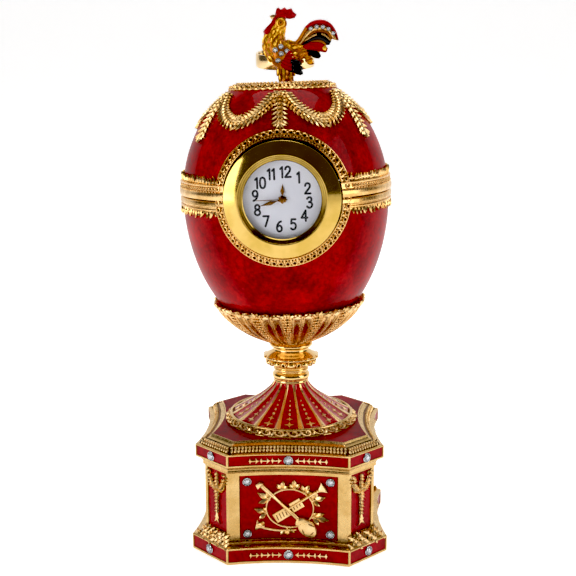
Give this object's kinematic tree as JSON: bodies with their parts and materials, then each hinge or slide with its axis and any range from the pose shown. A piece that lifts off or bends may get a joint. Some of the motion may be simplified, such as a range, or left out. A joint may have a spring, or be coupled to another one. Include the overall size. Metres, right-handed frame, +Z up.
{
  "type": "jewelled egg with clock on stand",
  "caption": "Enamelled metal egg in two halves with a clock in its front, a cockerel finial, a leafy cup, a fluted foot and an eight-sided plinth.",
  "frame": {"origin": "centre of the plinth's flat underside", "axes": "+Z up along the stand's axis, the clock faces -Y"},
  "size_m": [0.0721, 0.0726, 0.183],
  "materials": {
    "plinth_casting": "gilt casting with translucent red enamel panels",
    "skirt_casting": "gilt ribs with translucent red enamel between them",
    "gilt_casting": "gilt casting, satin with worn bright edges",
    "egg_enamel": "glossy translucent red enamel with gilt ornament",
    "polished_gold": "polished gilt metal",
    "clock_glass": "clear flat glass",
    "dial_card": "matt white with printed black numerals",
    "hand_metal": "dark gilt, lightly polished",
    "cockerel_enamel": "gilt casting with yellow, red and black enamel",
    "clear_stone": "cut clear stone with a foiled back"
  },
  "bodies": {
    "stand_and_egg": {"plinth": "plinth_casting", "pedestal": "skirt_casting", "knop": "gilt_casting", "cup": "gilt_casting", "egg_shell": "egg_enamel", "egg_lid": "egg_enamel", "rooster": "cockerel_enamel", "finial_ring": "polished_gold", "clock_case": "polished_gold", "bezel": "polished_gold", "glass": "clock_glass", "dial": "dial_card", "stone_front_cornice": "clear_stone", "stone_front_foot": "clear_stone", "stone_front_upper_left": "clear_stone", "stone_front_upper_right": "clear_stone", "stone_front_lower_left": "clear_stone", "stone_front_lower_right": "clear_stone", "stone_corner_1_cornice": "clear_stone", "stone_corner_1_foot": "clear_stone", "stone_right_cornice": "clear_stone", "stone_right_foot": "clear_stone", "stone_right_upper_left": "clear_stone", "stone_right_upper_right": "clear_stone", "stone_right_lower_left": "clear_stone", "stone_right_lower_right": "clear_stone", "stone_corner_2_cornice": "clear_stone", "stone_corner_2_foot": "clear_stone", "stone_back_cornice": "clear_stone", "stone_back_foot": "clear_stone", "stone_back_upper_left": "clear_stone", "stone_back_upper_right": "clear_stone", "stone_back_lower_left": "clear_stone", "stone_back_lower_right": "clear_stone", "stone_corner_3_cornice": "clear_stone", "stone_corner_3_foot": "clear_stone", "stone_left_cornice": "clear_stone", "stone_left_foot": "clear_stone", "stone_left_upper_left": "clear_stone", "stone_left_upper_right": "clear_stone", "stone_left_lower_left": "clear_stone", "stone_left_lower_right": "clear_stone", "stone_corner_4_cornice": "clear_stone", "stone_corner_4_foot": "clear_stone"},
    "hour": {"hour_hand": "hand_metal"},
    "minute": {"minute_hand": "hand_metal"},
    "second": {"second_hand": "hand_metal"}
  },
  "joints": [
    {"name": "minute_turn", "type": "hinge", "parent": "stand_and_egg", "child": "minute", "pos_m": [-0.00149, -0.033, 0.12308], "axis": [0, 1, 0], "continuous": true},
    {"name": "hour_turn", "type": "hinge", "parent": "stand_and_egg", "child": "hour", "pos_m": [-0.00149, -0.033, 0.12308], "axis": [0, 1, 0], "continuous": true},
    {"name": "second_turn", "type": "hinge", "parent": "stand_and_egg", "child": "second", "pos_m": [-0.00149, -0.033, 0.12308], "axis": [0, 1, 0], "continuous": true}
  ],
  "couplings": [
    {"joint": "hour_turn", "follows": "minute_turn", "ratio": 0.083333}
  ]
}
